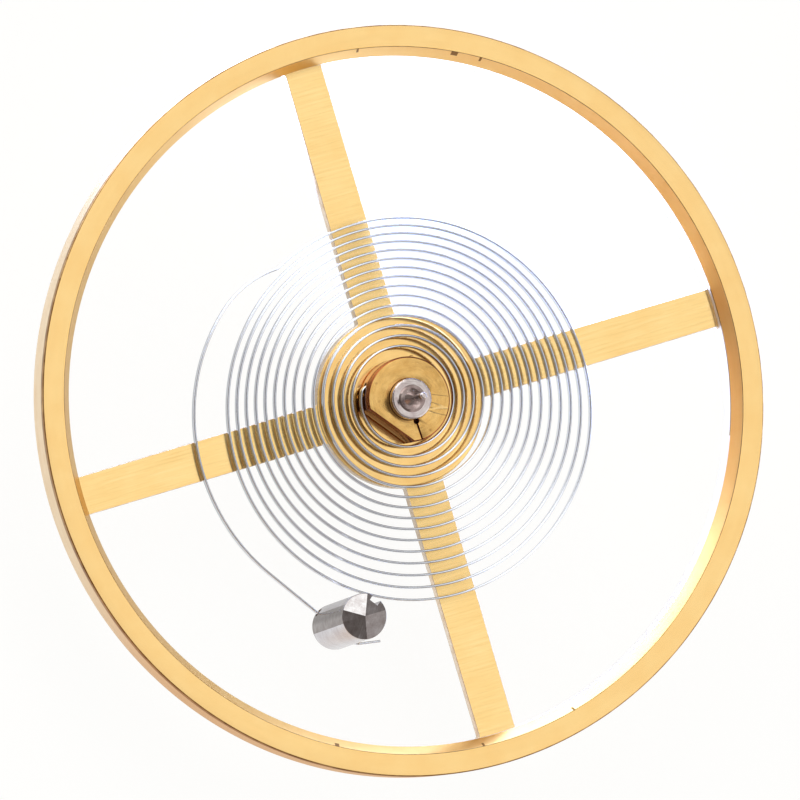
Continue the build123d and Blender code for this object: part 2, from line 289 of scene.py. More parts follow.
# finishes
rimTopFinish = metalFinish("rimTopGilt", {
    "colour": (249, 213, 146), "shade": (244, 200, 128), "clouds": (0.5, 2.0, 0.8),
    "rings": (14.0, 5.0, 3.0, 0.12), "markColour": (224, 178, 112),
    "flecks": (0.3, 0.16, 0.14, 0.35), "fleckColour": (196, 152, 92),
    "roughness": 0.17, "roughSpread": 0.06, "bump": 0.0004,
})
bevelFinish = metalFinish("bevelPolished", {
    "colour": (246, 204, 132), "shade": (238, 190, 116), "clouds": (0.3, 2.0, 0.7),
    "rings": (30.0, 3.0, 3.0, 0.1), "markColour": (214, 160, 92),
    "roughness": 0.29, "roughSpread": 0.05, "bump": 0.0004,
})
wallFinish = metalFinish("rimWallTurned", {
    "colour": (250, 230, 198), "shade": (240, 212, 170), "clouds": (0.35, 2.0, 0.8),
    "rings": (26.0, 4.0, 4.0, 0.2), "markColour": (198, 166, 134),
    "roughness": 0.42, "roughSpread": 0.1, "bump": 0.0006,
})
innerWallFinish = metalFinish("rimInnerWallMatt", {
    "colour": (254, 252, 254), "shade": (246, 242, 247), "clouds": (0.35, 2.0, 0.8),
    "rings": (22.0, 4.0, 4.0, 0.12), "markColour": (222, 208, 206),
    "roughness": 0.6, "roughSpread": 0.1, "bump": 0.0006,
})
# painted shade: dark brown in the crease under the bevel and round the rim's inner bottom edge; the chips
# on the inner edge, which are real, take it too
footFinish = metalFinish("bevelFootShadeAndChips", {
    "colour": (138, 100, 54), "shade": (110, 78, 40), "clouds": (0.15, 2.0, 0.8),
    "rings": (26.0, 9.0, 3.0, 0.3), "markColour": (190, 150, 92),
    "roughness": 0.35, "roughSpread": 0.1, "bump": 0.0004,
})
# painted dark reflection on the rim's rounded edges and on a band at the top of the outer wall, with real
# flecks over it
edgeFinish = metalFinish("rimEdgeDarkReflectionFlecked", {
    "colour": (194, 154, 102), "shade": (154, 112, 66), "clouds": (0.2, 4.0, 1.0),
    "rings": (20.0, 16.0, 4.0, 0.5), "markColour": (104, 70, 34),
    "flecks": (0.09, 0.3, 0.45, 0.7), "fleckColour": (98, 66, 30),
    "roughness": 0.35, "roughSpread": 0.1, "bump": 0.0008,
})
armSideFinish = metalFinish("armSideMilled", {
    "colour": (246, 232, 214), "shade": (224, 192, 152), "clouds": (0.12, 4.0, 0.8),
    "strokes": (30.0, 0.5, 0.0, 3.0, 0.3), "markColour": (150, 112, 70),
    "roughness": 0.26, "roughSpread": 0.14, "bump": 0.0012,
})
colletFinish = metalFinish("colletTurned", {
    "colour": (232, 190, 118), "shade": (214, 168, 96), "clouds": (0.16, 3.0, 0.9),
    "rings": (26.0, 2.5, 4.0, 0.26), "markColour": (158, 108, 50),
    "flecks": (0.13, 0.26, 0.28, 0.6), "fleckColour": (128, 86, 40),
    "scratches": (5.0, 0.012, 0.35, 0.5, 0.4), "scratchColour": (255, 228, 172),
    "roughness": 0.24, "roughSpread": 0.16, "bump": 0.0026,
})
# painted shade: the collet's sides are dark red-brown for the shadow and dark mirrored brass they show
colletSideFinish = metalFinish("colletSidePaintedShade", {
    "colour": (172, 104, 60), "shade": (134, 72, 42), "clouds": (0.14, 3.0, 0.9),
    "rings": (30.0, 2.0, 3.0, 0.2), "markColour": (92, 44, 24),
    "roughness": 0.12, "roughSpread": 0.06, "bump": 0.0008,
})
rollerFinish = metalFinish("rollerPolished", {
    "colour": (240, 202, 134), "shade": (220, 176, 108), "clouds": (0.3, 2.0, 0.6),
    "rings": (40.0, 2.0, 3.0, 0.15), "markColour": (188, 138, 78),
    "roughness": 0.14, "roughSpread": 0.08, "bump": 0.0006,
})
pinFinish = metalFinish("pinDrawnBrass", {
    "colour": (232, 194, 128), "shade": (200, 154, 92), "clouds": (0.08, 2.0, 0.7),
    "strokes": (60.0, 0.2, 0.33, 2.0, 0.2), "markColour": (140, 98, 52),
    "roughness": 0.24, "roughSpread": 0.14, "bump": 0.0008,
})
staffFinish = metalFinish("staffSteel", {
    "colour": (211, 203, 200), "shade": (186, 172, 170), "clouds": (0.12, 3.0, 0.9),
    "rings": (50.0, 1.5, 3.0, 0.3), "markColour": (136, 116, 116),
    "scratches": (6.0, 0.006, 0.3, 0.5, 0.4), "scratchColour": (250, 244, 240),
    "roughness": 0.1, "roughSpread": 0.08, "bump": 0.0012,
})
studFinish = metalFinish("studSteel", {
    "colour": (222, 222, 228), "shade": (196, 190, 196), "clouds": (0.3, 3.0, 0.9),
    "rings": (30.0, 4.0, 3.0, 0.16), "markColour": (124, 114, 120),
    "roughness": 0.18, "roughSpread": 0.12, "bump": 0.0008,
})
# painted highlight: the one bright facet on the stud's top is a light copy of the steel
studHighlightFacetFinish = metalFinish("studFacetPaintedHighlight", {
    "colour": (236, 235, 236), "shade": (206, 200, 200), "clouds": (0.1, 4.0, 0.9),
    "strokes": (40.0, 0.3, 0.6, 2.0, 0.3), "markColour": (160, 144, 134),
    "roughness": 0.12, "roughSpread": 0.06, "bump": 0.0006,
})
# painted shade: the stud's other facets, its soft edges and a stretch of its side are a dark copy of the
# steel
studShadedFacetFinish = metalFinish("studFacetPaintedShade", {
    "colour": (152, 146, 146), "shade": (120, 110, 108), "clouds": (0.12, 3.0, 0.9),
    "strokes": (40.0, 0.3, 2.2, 2.0, 0.2), "markColour": (70, 56, 44),
    "roughness": 0.14, "roughSpread": 0.06, "bump": 0.0006,
})
springFinish = metalFinish("springAlloy", {
    "colour": (228, 232, 240), "shade": (214, 218, 227), "clouds": (0.3, 2.0, 0.8),
    "strokes": (40.0, 1.0, 0.0, 2.0, 0.1), "markColour": (150, 152, 158),
    "roughness": 0.18, "roughSpread": 0.08, "bump": 0.0002,
})
hubFinish = metalFinish("hubTurned", {
    "colour": (249, 211, 142), "shade": (238, 192, 118), "clouds": (0.4, 3.0, 0.8),
    "rings": (24.0, 1.6, 4.0, 0.2), "markColour": (190, 140, 78),
    "flecks": (0.14, 0.14, 0.12, 0.5), "fleckColour": (140, 98, 54),
    "roughness": 0.12, "roughSpread": 0.06, "bump": 0.0008,
})


def makeArmFinish():
    # stoned in one direction, so the strokes run across two of the arms and along the others
    look = {
        "colour": (252, 219, 152), "shade": (248, 208, 136), "clouds": (0.5, 2.0, 0.8),
        "strokes": (34.0, 0.9, 0.0, 3.0), "finerStrokes": (60.0, 0.35, 0.03, 2.0),
        "dark": (232, 188, 116), "light": (255, 234, 180),
        "darkRamp": (1.1, -0.52), "lightRamp": (-1.1, 0.5), "finerRamp": (1.2, -0.6),   # gain and offset
        "flecks": (0.2, 0.16, 0.14, 0.4), "fleckColour": (186, 142, 80),
        "roughness": 0.27, "spread": 0.9, "bump": 0.0004,
    }
    material, tree, shader = startMaterial("armsStonedGilt", {
        "Metallic": 1.0, "Roughness": look["roughness"], "Anisotropic": look["spread"],
    })
    across = addNode(tree, "ShaderNodeTangent", direction_type="RADIAL", axis="X")
    colour = cloudColour(tree, look)
    strokes = layMarks(tree, "strokes", look["strokes"])
    finer = layMarks(tree, "strokes", look["finerStrokes"])
    for marks, ramp, tone in (
        (strokes, "darkRamp", "dark"), (strokes, "lightRamp", "light"), (finer, "finerRamp", "dark"),
    ):
        colour = mixColour(tree, scaleValue(tree, marks, *look[ramp]), colour, paint(*look[tone]))
    spots = scaleValue(tree, layMarks(tree, "flecks", look["flecks"]), look["flecks"][-1])
    colour = mixColour(tree, spots, colour, paint(*look["fleckColour"]))
    normal = bumpNormal(tree, strokes, look)
    setInputs(tree, shader, {"Base Color": colour, "Tangent": across.outputs[0], "Normal": normal})
    return material


def makeRubyFinish():
    look = {
        "bright": (196, 24, 60), "deep": (168, 12, 44), "clouds": (0.2, 1.5), "refraction": 1.77,
        "strokes": (30.0, 0.4, 0.4, 2.0), "roughSpread": 0.06, "roughness": 0.01,
    }
    material, tree, shader = startMaterial("ruby", {"Transmission Weight": 1.0, "IOR": look["refraction"]})
    tone = layMarks(tree, "clouds", look["clouds"])
    polish = layMarks(tree, "strokes", look["strokes"])
    setInputs(tree, shader, {
        "Base Color": mixColour(tree, tone, paint(*look["bright"]), paint(*look["deep"])),
        "Roughness": scaleValue(tree, polish, look["roughSpread"], look["roughness"]),
    })
    return material


armFinish = makeArmFinish()
rubyFinish = makeRubyFinish()
print("finishes made")

# helpers for shapes; lengths in mm
making = {"merge": 1e-5, "onAxis": 1e-6, "sharpAngle": 28, "drillSides": 48}


def polar(radius, angle):
    return Vector((radius * cos(radians(angle)), radius * sin(radians(angle))))


def softProfile(corners, steps=4):
    # corners are (x, y) or (x, y, round): a rounded corner becomes an arc tangent to both its sides
    points = []
    for index, corner in enumerate(corners):
        here = Vector(corner[:2])
        bend = corner[2] if len(corner) > 2 else 0
        if not bend or index in (0, len(corners) - 1):
            points.append(here)
            continue
        before = (Vector(corners[index - 1][:2]) - here).normalized()
        after = (Vector(corners[index + 1][:2]) - here).normalized()
        half = before.angle(after) / 2
        centre = here + (before + after).normalized() * (bend / sin(half))
        start = here + before * (bend / tan(half)) - centre
        end = here + after * (bend / tan(half)) - centre
        sweep = start.angle(end)
        for step in range(steps + 1):
            share = step / steps
            spoke = start * sin((1 - share) * sweep) + end * sin(share * sweep)
            points.append(centre + spoke / sin(sweep))
    return points


def tangentArc(start, end, heading, steps=14):
    # points of the arc that leaves start in this direction and ends at end
    start, end, heading = Vector(start), Vector(end), Vector(heading).normalized()
    side = Vector((-heading.y, heading.x))
    chord = end - start
    centre = start + side * (chord.length_squared / (2 * chord.dot(side)))
    x, y = start - centre
    sweep = 2 * atan2(chord.dot(side), chord.dot(heading))
    turns = [sweep * step / steps for step in range(steps + 1)]
    return [centre + Vector((x * cos(t) - y * sin(t), x * sin(t) + y * cos(t))) for t in turns]


def addTurned(shape, profile, sides, closed=False, finish=0, finishFor=None):
    # turns a profile of (radius, height) points round the staff's axis
    turns = [2 * pi * side / sides for side in range(sides)]
    rings = []
    for radius, height in profile:
        if radius < making["onAxis"]:
            rings.append([shape.verts.new((0, 0, height))])
        else:
            places = [(radius * cos(turn), radius * sin(turn), height) for turn in turns]
            rings.append([shape.verts.new(place) for place in places])
    uppers = rings[1:] + rings[:1] if closed else rings[1:]
    for number, (lower, upper) in enumerate(zip(rings, uppers)):
        for side in range(sides):
            slot = finishFor(number, 360 * side / sides) if finishFor else finish
            other = (side + 1) % sides
            corners = [lower[side % len(lower)], lower[other % len(lower)]]
            corners += [upper[other % len(upper)], upper[side % len(upper)]]
            corners = list(dict.fromkeys(corners))
            if len(corners) > 2:
                shape.faces.new(corners).material_index = slot


def skinRings(shape, rings, finishFor):
    # faces between loops that have the same number of points
    for number, (lower, upper) in enumerate(zip(rings, rings[1:])):
        for index in range(len(lower)):
            other = (index + 1) % len(lower)
            corners = (lower[index], lower[other], upper[other], upper[index])
            shape.faces.new(corners).material_index = finishFor(number, index)


def addPlate(shape, outline, bottom, top, edgeRound, steps=3, topFinish=0, sideFinish=0, lowerRound=None):
    # outline(inset) gives the same number of points at every inset
    low = edgeRound if lowerRound is None else lowerRound
    bends = [pi / 2 * step / steps for step in range(steps + 1)]
    levels = [(low * (1 - sin(bend)), bottom + low * (1 - cos(bend))) for bend in bends]
    levels += [(edgeRound * (1 - cos(bend)), top - edgeRound * (1 - sin(bend))) for bend in bends]
    rings = [[shape.verts.new((x, y, height)) for x, y in outline(inset)] for inset, height in levels]
    skinRings(shape, rings, lambda number, index: sideFinish)
    shape.faces.new(list(reversed(rings[0]))).material_index = topFinish
    shape.faces.new(rings[-1]).material_index = topFinish


def markEdges(mesh, sharpAngle):
    shape = bmesh.new()
    shape.from_mesh(mesh)
    for face in shape.faces:
        face.smooth = True
    for edge in shape.edges:
        edge.smooth = not (len(edge.link_faces) == 2 and degrees(edge.calc_face_angle(0)) > sharpAngle)
    shape.to_mesh(mesh)
    shape.free()


def finishPiece(name, shape, materials, node, body, cutters=(), sharpAngle=making["sharpAngle"]):
    # turns the finished bmesh into a piece that stands for its node and rides on the node's body
    bmesh.ops.remove_doubles(shape, verts=shape.verts[:], dist=making["merge"])
    piece = placeMesh(shape, name)
    for material in materials:
        piece.data.materials.append(material)
    for cutter in cutters:
        cut = piece.modifiers.new("cut", "BOOLEAN")
        cut.object = cutter
        cut.operation = "DIFFERENCE"
        cut.solver = "EXACT"
    if cutters:
        bpy.context.view_layer.update()
        cutPiece = piece.evaluated_get(bpy.context.evaluated_depsgraph_get())
        piece.data = bpy.data.meshes.new_from_object(cutPiece)
        piece.data.name = name
        piece.modifiers.clear()
        for cutter in cutters:
            bpy.data.objects.remove(cutter)
    piece.data.transform(Matrix.Scale(mm, 4))
    markEdges(piece.data, sharpAngle)
    weighted = piece.modifiers.new("weightedNormals", "WEIGHTED_NORMAL")
    weighted.mode = "FACE_AREA"
    weighted.keep_sharp = True
    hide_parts(node)
    if body:
        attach(piece, body)
    print("made", name, len(piece.data.polygons), "faces")
    return piece


def placeMesh(shape, name):
    # the bmesh as an object in the scene, its faces turned outwards
    bmesh.ops.recalc_face_normals(shape, faces=shape.faces[:])
    mesh = bpy.data.meshes.new(name)
    shape.to_mesh(mesh)
    shape.free()
    thing = bpy.data.objects.new(name, mesh)
    scene.collection.objects.link(thing)
    return thing


def levelDrill(centre, angle, height, radius, length, name):
    # a cylinder lying level through centre, pointing at angle
    shape = bmesh.new()
    bmesh.ops.create_cone(
        shape, cap_ends=True, segments=making["drillSides"], radius1=radius, radius2=radius, depth=length
    )
    place = Matrix.Translation((centre.x, centre.y, height))
    shape.transform(place @ Matrix.Rotation(radians(angle), 4, "Z") @ Matrix.Rotation(pi / 2, 4, "Y"))
    return placeMesh(shape, name)


# the wheel
wheel = {
    "rimRadius": 4.65, "rimBottom": 1.52, "rimMiddle": 1.7, "rimTop": 1.96, "sides": 960,
    "edgeRound": 0.015, "lowerRound": 0.008, "innerRound": 0.009, "roundSteps": 5,
    "innerEdge": 4.378, "wall": 4.275, "bevelFoot": 1.813, "bevelCrown": 0.0008, "bevelSteps": 8,
    "footLine": 0.03, "edgeLine": 0.07,
    "armTop": 1.68, "armBottom": 1.54, "armHalfAtStaff": 0.2525, "armHalfAtRim": 0.24, "armEdge": 0.008,
    "armOverrun": 0.05, "hubRadius": 1.08, "hubSteps": 48, "cornerRound": 0.03, "cornerSteps": 8,
    "hubFace": 1.066, "hubFaceEdge": 0.0015, "hubProud": 0.003, "hubInner": 0.3, "hubSunk": 0.02,
    "hubSides": 360,
    "unshadedFrom": 248, "unshadedTo": 338,   # no painted shade under the bevel between these angles, where the bevel is lit
    # polished by hand, so the bevel's slope varies a little: angle and how much lower its foot lies
    "bevelWaves": (
        (0, 0.018), (20, 0.016), (40, 0.007), (60, 0.007), (80, 0.015), (110, 0.018),
        (200, 0.018), (245, 0), (305, 0), (325, 0.015), (345, 0.018), (360, 0.018),
    ),
    # small chips along the inner edge: middle and width in degrees
    "chips": ((81, 0.7), (266, 0.5), (241, 0.6), (282.5, 0.5), (60, 0.5), (64.5, 0.8)),
    "chipReach": 3,   # strips of the bevel
}
wheelFinishes = [
    rimTopFinish, bevelFinish, wallFinish, footFinish, edgeFinish,
    armFinish, hubFinish, armSideFinish, innerWallFinish,
]
topSlot, bevelSlot, wallSlot, footSlot, edgeSlot, armSlot, hubSlot, armSideSlot, innerSlot = range(9)


def armOutline(inset):
    # hub and four arms as one loop; the arms' ends run on into the rim
    w = wheel
    slope = (w["armHalfAtStaff"] - w["armHalfAtRim"]) / w["innerEdge"]
    stretch = sqrt(1 + slope * slope)
    normal, along = Vector((slope, 1)) / stretch, Vector((1, -slope)) / stretch
    corner = w["cornerRound"]
    away = w["armHalfAtStaff"] / stretch + corner
    hubCentre = normal * away + along * sqrt((w["hubRadius"] + corner) ** 2 - away**2)
    rimCentre = normal * away + along * sqrt((w["wall"] - corner) ** 2 - away**2)

    def fillet(centre, last):
        # from the arm's side to the direction last
        start, end, steps = atan2(-normal.y, -normal.x), atan2(last.y, last.x), w["cornerSteps"]
        turns = [start + (end - start) * k / steps for k in range(steps + 1)]
        return [centre + Vector((cos(turn), sin(turn))) * (corner + inset) for turn in turns]

    atHub, atRim = fillet(hubCentre, -hubCentre), fillet(rimCentre, rimCentre)
    rimAngle, hubAngle = (degrees(atan2(side[-1].y, side[-1].x)) for side in (atRim, atHub))
    upper = [polar(w["wall"] + w["armOverrun"], rimAngle)] + list(reversed(atRim)) + atHub
    lower = [Vector((p.x, -p.y)) for p in reversed(upper)]
    between = [hubAngle + (90 - 2 * hubAngle) * k / w["hubSteps"] for k in range(1, w["hubSteps"])]
    points = []
    for arm in range(4):
        turn = Matrix.Rotation(radians(90 * arm), 2)
        points += [turn @ p for p in lower + upper]
        points += [turn @ polar(w["hubRadius"] - inset, angle) for angle in between]
    return points


def rimProfile():
    # once round the rim's section from the line under the bevel, and a finish for each strip
    w = wheel
    middle, steps = w["rimMiddle"], w["roundSteps"]
    foot, edge = Vector((w["wall"], w["bevelFoot"])), Vector((w["innerEdge"], w["rimTop"]))
    across = (edge - foot).normalized()
    outwards = Vector((-across.y, across.x))
    crown = []
    for step in range(1, w["bevelSteps"]):
        share = step / w["bevelSteps"]
        crown.append(edge.lerp(foot, share) + outwards * (4 * share * (1 - share) * w["bevelCrown"]))
    under = softProfile([
        (w["wall"], middle), (w["wall"], w["rimBottom"], w["lowerRound"]),
        (w["rimRadius"], w["rimBottom"], w["edgeRound"]), (w["rimRadius"], middle),
    ], steps)
    over = softProfile([
        (w["rimRadius"], middle), (w["rimRadius"], w["rimTop"], w["edgeRound"]),
        (w["innerEdge"], w["rimTop"], w["innerRound"]), tuple(crown[0]),
    ], steps)
    profile = [Vector((w["wall"], w["bevelFoot"] - w["footLine"]))] + under[1:-1]
    profile.append(Vector((w["rimRadius"], w["rimTop"] - w["edgeRound"] - w["edgeLine"])))
    profile += over[1:-1] + crown + [foot]
    strips = [innerSlot] + [footSlot] * steps + [wallSlot] * (steps + 2) + [edgeSlot] * (steps + 1)
    strips += [topSlot] + [edgeSlot] * steps + [bevelSlot] * (len(crown) + 1) + [footSlot]
    return profile, strips


def waveAt(turn):
    # how much lower the bevel's foot lies at this angle
    for (first, low), (last, high) in zip(wheel["bevelWaves"], wheel["bevelWaves"][1:]):
        if first <= turn <= last:
            step = (turn - first) / (last - first)
            return low + (high - low) * step * step * (3 - 2 * step)
    return 0


def buildWheel():
    w = wheel
    profile, strips = rimProfile()
    firstChip = strips.index(topSlot) + 1
    chipStrips = range(firstChip, firstChip + w["roundSteps"] + w["chipReach"])

    def finishAt(number, turn):
        # painted shade under the bevel, left out where the bevel is lit; chips take the same dark finish
        if number == len(strips) - 1 and w["unshadedFrom"] < turn < w["unshadedTo"]:
            return innerSlot
        chipped = any(abs((turn - middle + 180) % 360 - 180) < width / 2 for middle, width in w["chips"])
        return footSlot if chipped and number in chipStrips else strips[number]

    shape = bmesh.new()
    addTurned(shape, profile, w["sides"], closed=True, finishFor=finishAt)
    slack = 1e-4
    for vert in shape.verts:
        share = min(1, (w["rimTop"] - vert.co.z) / (w["rimTop"] - w["bevelFoot"]))
        low = vert.co.z > w["bevelFoot"] - w["footLine"] - slack
        if vert.co.xy.length < w["innerEdge"] + slack and low and share > 0:
            vert.co.z -= share * waveAt(degrees(atan2(vert.co.y, vert.co.x)) % 360)
    addPlate(
        shape, armOutline, w["armBottom"], w["armTop"], w["armEdge"],
        topFinish=armSlot, sideFinish=armSideSlot,
    )
    sunk, proud = w["armTop"] - w["hubSunk"], w["armTop"] + w["hubProud"]
    hubFace = softProfile([
        (w["hubInner"], sunk), (w["hubFace"], sunk),
        (w["hubFace"], proud, w["hubFaceEdge"]), (w["hubInner"], proud),
    ])
    addTurned(shape, hubFace, w["hubSides"], closed=True, finish=hubSlot)
    return finishPiece("wheel", shape, wheelFinishes, "balance_wheel", "balance")


buildWheel()

# the staff
staff = {
    "pivotRadius": 0.045, "tipRound": 0.025, "tipSteps": 6, "lowerPivotTop": 0.24,
    "arborStart": 0.40, "arborRadius": 0.20, "neckRadius": 0.31,
    "flangeRadius": 0.50, "flangeBottom": 1.40, "flangeEdge": 0.012,
    "rivetRadius": 0.36, "rivetTop": 1.71, "rivetEdge": 0.01,
    "seatRadius": 0.255, "shoulder": 2.18, "shoulderEdge": 0.022,
    "grooveDepth": 0.03, "grooveWidth": 0.035, "grooveEdge": 0.006,
    "coneRadius": 0.135, "upperPivotFoot": 2.44, "top": 2.68, "sides": 180,
}


def buildStaff():
    s = staff
    pivot, arbor, neck, shoulder = s["pivotRadius"], s["arborRadius"], s["neckRadius"], s["shoulder"]
    tip, grooveFoot = pivot - s["tipRound"], (s["coneRadius"], shoulder - s["grooveDepth"])
    profile = [Vector((0, 0))] + tangentArc((tip, 0), (pivot, s["tipRound"]), (1, 0), s["tipSteps"])
    profile += tangentArc((pivot, s["lowerPivotTop"]), (arbor, s["arborStart"]), (0, 1))
    profile += softProfile([
        (arbor, s["arborStart"]), (arbor, s["flangeBottom"]),
        (s["flangeRadius"], s["flangeBottom"], s["flangeEdge"]), (s["flangeRadius"], wheel["armBottom"]),
        (neck, wheel["armBottom"]), (neck, wheel["armTop"]),
        (s["rivetRadius"], wheel["armTop"]), (neck, s["rivetTop"], s["rivetEdge"]),
        (s["seatRadius"], s["rivetTop"]), (s["seatRadius"], shoulder, s["shoulderEdge"]),
        (s["coneRadius"] + s["grooveWidth"], shoulder, s["grooveEdge"]), grooveFoot,
    ])[1:]
    cone = tangentArc((pivot, s["upperPivotFoot"]), grooveFoot, (0, -1))
    profile += list(reversed(cone))[1:]
    profile += tangentArc((pivot, s["top"] - s["tipRound"]), (tip, s["top"]), (0, 1), s["tipSteps"])
    profile.append(Vector((0, s["top"])))
    shape = bmesh.new()
    addTurned(shape, profile, s["sides"])
    return finishPiece("staff", shape, [staffFinish], "balance_staff", "balance")


buildStaff()

# the double roller and its jewel
roller = {
    "bore": 0.19, "tableRadius": 0.85, "tableBottom": 1.26, "tableTop": 1.40, "edgeRound": 0.02,
    "tubeRadius": 0.30, "tubeBottom": 0.92, "tubeEdge": 0.01, "sides": 240,
    "safetyRadius": 0.42, "safetyBottom": 0.76, "safetyEdge": 0.01, "safetySteps": 120,
    "crescentCentre": 0.47, "crescentRadius": 0.13, "crescentSteps": 24,
    "jewelRadius": 0.15, "jewelFlat": 0.06, "jewelCircle": 0.66, "jewelBottom": 0.84,
    "jewelProud": 0.002, "jewelEdge": 0.012, "jewelSteps": 60,
}


def safetyOutline(inset):
    r = roller
    big, small, apart = r["safetyRadius"] - inset, r["crescentRadius"] + inset, r["crescentCentre"]
    x = (apart**2 + big**2 - small**2) / (2 * apart)
    y = sqrt(big**2 - x**2)
    first, opening = degrees(atan2(y, x)), degrees(atan2(y, apart - x))
    steps, hollow = r["safetySteps"], r["crescentSteps"]
    points = [polar(big, first + (360 - 2 * first) * k / steps) for k in range(steps + 1)]
    turns = [180 + opening - 2 * opening * k / hollow for k in range(1, hollow)]
    return points + [Vector((apart, 0)) + polar(small, turn) for turn in turns]


def jewelOutline(inset):
    radius, flat, steps = roller["jewelRadius"] - inset, roller["jewelFlat"] - inset, roller["jewelSteps"]
    first = degrees(acos(flat / radius))
    centre = Vector((roller["jewelCircle"], 0))
    return [centre + polar(radius, first + (360 - 2 * first) * k / steps) for k in range(steps + 1)]


def buildRollers():
    r = roller
    bore, tube, table = r["bore"], r["tubeRadius"], r["tableRadius"]
    shape = bmesh.new()
    addTurned(shape, softProfile([
        (bore, r["tubeBottom"]), (tube, r["tubeBottom"], r["tubeEdge"]), (tube, r["tableBottom"]),
        (table, r["tableBottom"], r["edgeRound"]), (table, r["tableTop"], r["edgeRound"]),
        (bore, r["tableTop"]),
    ]), r["sides"], closed=True)
    finishPiece("impulseRoller", shape, [rollerFinish], "impulse_roller", "balance")
    shape = bmesh.new()
    addPlate(shape, safetyOutline, r["safetyBottom"], r["tubeBottom"], r["safetyEdge"])
    finishPiece("safetyRoller", shape, [rollerFinish], "safety_roller", "balance")
    shape = bmesh.new()
    addPlate(shape, jewelOutline, r["jewelBottom"], r["tableTop"] + r["jewelProud"], r["jewelEdge"])
    finishPiece("impulseJewel", shape, [rubyFinish], "impulse_jewel", "balance")


buildRollers()

# the collet and its pin
collet = {
    "radius": 0.53, "bottom": 1.725, "top": 2.055, "bore": 0.255, "flat": 0.40, "flatAngle": 219,
    "slitHalf": 0.003, "slitAngle": 272, "relief": 0.03,
    "edgeRound": 0.018, "lowerRound": 0.004, "edgeSteps": 4,
    "roundSteps": 90, "flatSteps": 12, "lastSteps": 8, "reliefSteps": 10,
    "holeDistance": 0.40, "holeAngle": 109, "holeRadius": 0.058, "holeLength": 1.4, "springHeight": 1.83,
    "pinRadius": 0.055, "pinTail": 0.06, "pinEdge": 0.008, "pinSteps": 24,
}


def colletOutline(inset):
    c = collet
    inset = min(inset, c["edgeRound"])
    outer, apart, flat = c["radius"] - inset, c["bore"] + c["relief"], c["flat"] - inset
    bore, half, relief = (c[key] + inset * 0.5 for key in ("bore", "slitHalf", "relief"))
    slitEdge, flatHalf = degrees(asin(half / outer)), degrees(acos(flat / outer))
    first, second = c["flatAngle"] - flatHalf + 360, c["flatAngle"] + flatHalf + 360
    start, end = c["slitAngle"] + slitEdge, c["slitAngle"] + 360 - slitEdge
    around, level, rest, hollow = c["roundSteps"], c["flatSteps"], c["lastSteps"], c["reliefSteps"]
    points = [polar(outer, start + (first - start) * k / around) for k in range(around + 1)]
    a, b = polar(outer, first), polar(outer, second)
    points += [a.lerp(b, k / level) for k in range(1, level)]
    points += [polar(outer, second + (end - second) * k / rest) for k in range(rest + 1)]
    # down one side of the slit, round the relief, round the bore and back; local x runs out along the slit
    x = (apart**2 + bore**2 - relief**2) / (2 * apart)
    y = sqrt(max(0, bore**2 - x**2))
    mouth = sqrt(relief**2 - half**2)
    meetsBore = y > half
    reliefIn = Vector((x, y)) if meetsBore else Vector((apart - mouth, half))
    boreStart = Vector((x, y)) if meetsBore else Vector((sqrt(bore**2 - half**2), half))
    outAngle = degrees(atan2(half, mouth))
    inAngle = degrees(atan2(reliefIn.y, reliefIn.x - apart))
    boreAngle = degrees(atan2(boreStart.y, boreStart.x))
    reliefTurns = [outAngle + (inAngle - outAngle) * k / hollow for k in range(hollow + 1)]
    side = [Vector((apart, 0)) + polar(relief, turn) for turn in reliefTurns]
    firstSide = [Vector((p.x, -p.y)) for p in side]
    inside = [polar(bore, -boreAngle - (360 - 2 * boreAngle) * k / around) for k in range(around + 1)]
    turn = Matrix.Rotation(radians(c["slitAngle"]), 2)
    return points + [turn @ p for p in firstSide + inside + list(reversed(side))]


def pinShape(start, angle, height, length):
    # a half-round wedge pin, its flat side on the right of the way it points
    c = collet
    turns = [radians(-90 + 180 * k / c["pinSteps"]) for k in range(c["pinSteps"] + 1)]

    def outline(inset):
        radius = c["pinRadius"] - inset
        return [Vector((radius * cos(turn), radius * sin(turn))) for turn in turns]

    shape = bmesh.new()
    addPlate(shape, outline, 0, length, c["pinEdge"])
    left, up, forward = Vector((*polar(1, angle + 90), 0)), Vector((0, 0, 1)), Vector((*polar(1, angle), 0))
    turn = Matrix((left, up, forward)).transposed().to_4x4()
    shape.transform(Matrix.Translation((start.x, start.y, height)) @ turn)
    return shape


def buildCollet():
    c = collet
    shape = bmesh.new()
    addPlate(
        shape, colletOutline, c["bottom"], c["top"], c["edgeRound"],
        steps=c["edgeSteps"], sideFinish=1, lowerRound=c["lowerRound"],
    )
    foot = polar(c["holeDistance"], c["holeAngle"])
    drill = levelDrill(
        foot, c["holeAngle"] + 90, c["springHeight"], c["holeRadius"], c["holeLength"], "colletDrill"
    )
    finishes = [colletFinish, colletSideFinish]
    return finishPiece("colletRing", shape, finishes, "collet", "balance", cutters=[drill])


buildCollet()

# the hairspring
spring = {
    "thickness": 0.03, "width": 0.09, "round": 0.0145, "roundSteps": 5, "height": collet["springHeight"],
    "pinned": 0.50, "innerBend": 0.10, "firstRadius": 0.55, "centreShift": -0.004,
    "turns": 15, "steadyTurns": 5, "pitch": 0.1256, "lastDrift": 0.0321, "westShare": 0.07, "lastAngle": 26,
    "kinkRadius": 0.15, "kinkTurn": 23.49, "straight": 0.798,
    "terminal": ((1.30, 38), (2.37, 43), (2.46, 42)),   # radius and turn
    "studDiameter": 0.565, "tailRadius": 0.12, "tailTurn": 45, "tail": 0.26, "offset": 0.018,
    "pinnedSteps": 4, "straightSteps": 8, "studSteps": 6, "tailSteps": 4, "stepAngle": 2.5, "leastSteps": 3,
    # as it lies in the picture: a little lower on the left
    "droop": 0.036, "lean": 0.017, "slide": 0.012, "slideShare": 0.31,
    # it sinks between these lengths from its inner end, and is level again between these before the stud
    "freeFrom": 0.6, "freeTo": 9.0, "heldFrom": 2.2, "heldTo": 0.3,
    "coilEnd": (0.5, 150),   # radius and angle
}


